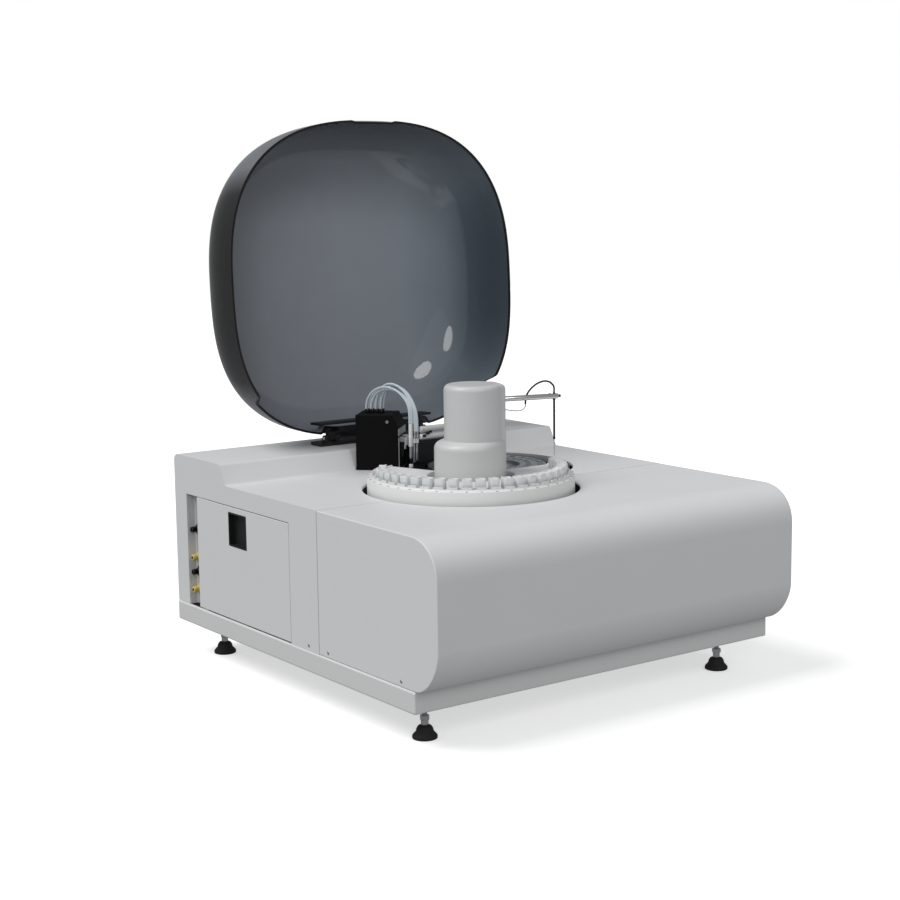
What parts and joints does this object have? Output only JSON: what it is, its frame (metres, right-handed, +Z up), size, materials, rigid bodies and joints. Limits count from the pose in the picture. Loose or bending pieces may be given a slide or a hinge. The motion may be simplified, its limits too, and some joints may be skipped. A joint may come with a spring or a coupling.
{
  "type": "benchtop chemistry analyzer",
  "caption": "Free-standing benchtop chemistry analyzer with a raised smoked dome lid, sample tray, probe arm on a turret, reaction rotor and wash station.",
  "frame": {"origin": "middle of the footprint of the whole object with its lid raised, at bench level", "axes": "X to the right seen from the front, Y to the back, Z up"},
  "size_m": [0.6936, 0.82, 0.9014],
  "materials": {
    "body_paint": "fine texture powder coat, light grey white",
    "tray_plastic": "satin white moulded plastic",
    "cup_plastic": "translucent white polypropylene",
    "smoked_plastic": "smoked transparent acrylic, glossy",
    "black_matte": "matte black",
    "port_yellow": "cream yellow moulded plastic",
    "rubber_black": "matte black rubber",
    "bright_steel": "bright turned stainless steel",
    "cast_alloy": "machined aluminium",
    "bowl_blue": "dark blue grey coated disc",
    "motor_grey": "dark grey painted metal",
    "board_green": "green circuit board",
    "clear_tube": "clear silicone tube"
  },
  "bodies": {
    "base": {"base_pan": "body_paint", "front_cover": "body_paint", "rear_housing": "body_paint", "rear_panel": "body_paint", "connector_panel": "body_paint", "sample_tray": "tray_plastic", "wash_bridge": "tray_plastic", "cup_ring": "cup_plastic", "probe_cup": "cup_plastic", "well_liner": "black_matte", "ring_cover": "black_matte", "rear_cover": "black_matte", "wash_block": "black_matte", "hinge_base": "black_matte", "power_inlet": "black_matte", "fluid_port_1": "black_matte", "fluid_port_3": "black_matte", "fluid_port_2": "port_yellow", "fluid_port_4": "port_yellow", "drive_belt": "rubber_black", "guide_rail": "bright_steel", "hinge_pin": "bright_steel", "door_hinge_rod": "bright_steel", "power_supply": "cast_alloy", "chassis": "motor_grey", "swivel_motor": "motor_grey", "rotor_motor": "motor_grey", "syringe_pump": "motor_grey", "main_board": "board_green", "wash_tubes": "clear_tube"},
    "lid_frame": {"lid": "smoked_plastic", "hinge_plate": "black_matte", "hinge_yoke": "black_matte"},
    "door_leaf": {"side_door": "body_paint", "door_pull": "black_matte"},
    "turret": {"turret_cover": "body_paint", "turret_mast": "cast_alloy"},
    "probe_arm": {"lift_carriage": "motor_grey", "arm_tube": "bright_steel", "arm_end_cap": "black_matte", "probe_sleeve": "black_matte", "probe_needle": "bright_steel", "arm_hose": "rubber_black", "arm_clear_tube": "clear_tube"},
    "rotor": {"cuvette_ring": "cast_alloy", "rotor_disc": "bowl_blue", "rotor_shaft": "bright_steel"},
    "drive_pulley": {"motor_pulley": "bright_steel"},
    "wash_lift": {"wash_head": "tray_plastic", "wash_comb": "bright_steel"},
    "power_rocker": {"rocker_switch": "black_matte"},
    "fan": {"fan_rotor": "black_matte"},
    "foot_1": {"foot_pad_1": "rubber_black", "foot_stud_1": "bright_steel"},
    "foot_2": {"foot_pad_2": "rubber_black", "foot_stud_2": "bright_steel"},
    "foot_3": {"foot_pad_3": "rubber_black", "foot_stud_3": "bright_steel"},
    "foot_4": {"foot_pad_4": "rubber_black", "foot_stud_4": "bright_steel"}
  },
  "joints": [
    {"name": "lid_hinge", "type": "hinge", "parent": "base", "child": "lid_frame", "pos_m": [0, 0.25526, 0.356], "axis": [1, 0, 0], "range_deg": [0, 94.3]},
    {"name": "door_hinge", "type": "hinge", "parent": "base", "child": "door_leaf", "pos_m": [-0.337, 0.12696, 0.1038], "axis": [0, -1, 0], "range_deg": [0, 90]},
    {"name": "turret_swivel", "type": "hinge", "parent": "base", "child": "turret", "pos_m": [-0.046, -0.08704, 0.3], "axis": [0, 0, 1], "range_deg": [-186, 62]},
    {"name": "arm_lift", "type": "slide", "parent": "turret", "child": "probe_arm", "axis": [0, 0, 1], "range_m": [-0.016, 0]},
    {"name": "rotor_spin", "type": "hinge", "parent": "base", "child": "rotor", "pos_m": [0.099, 0.06196, 0.3], "axis": [0, 0, 1], "continuous": true},
    {"name": "pulley_spin", "type": "hinge", "parent": "base", "child": "drive_pulley", "pos_m": [0.204, 0.06196, 0.21], "axis": [0, 0, 1], "continuous": true},
    {"name": "wash_slide", "type": "slide", "parent": "base", "child": "wash_lift", "axis": [0, 0, 1], "range_m": [-0.02, 0]},
    {"name": "power_rock", "type": "hinge", "parent": "base", "child": "power_rocker", "pos_m": [-0.17, 0.34416, 0.15], "axis": [1, 0, 0], "range_deg": [0, 16]},
    {"name": "fan_spin", "type": "hinge", "parent": "base", "child": "fan", "pos_m": [0.17, 0.33696, 0.2], "axis": [0, 1, 0], "continuous": true},
    {"name": "foot_level_1", "type": "slide", "parent": "base", "child": "foot_1", "axis": [0, 0, -1], "range_m": [0, 0.01]},
    {"name": "foot_level_2", "type": "slide", "parent": "base", "child": "foot_2", "axis": [0, 0, -1], "range_m": [0, 0.01]},
    {"name": "foot_level_3", "type": "slide", "parent": "base", "child": "foot_3", "axis": [0, 0, -1], "range_m": [0, 0.01]},
    {"name": "foot_level_4", "type": "slide", "parent": "base", "child": "foot_4", "axis": [0, 0, -1], "range_m": [0, 0.01]}
  ],
  "couplings": [
    {"joint": "pulley_spin", "follows": "rotor_spin", "ratio": 3}
  ]
}
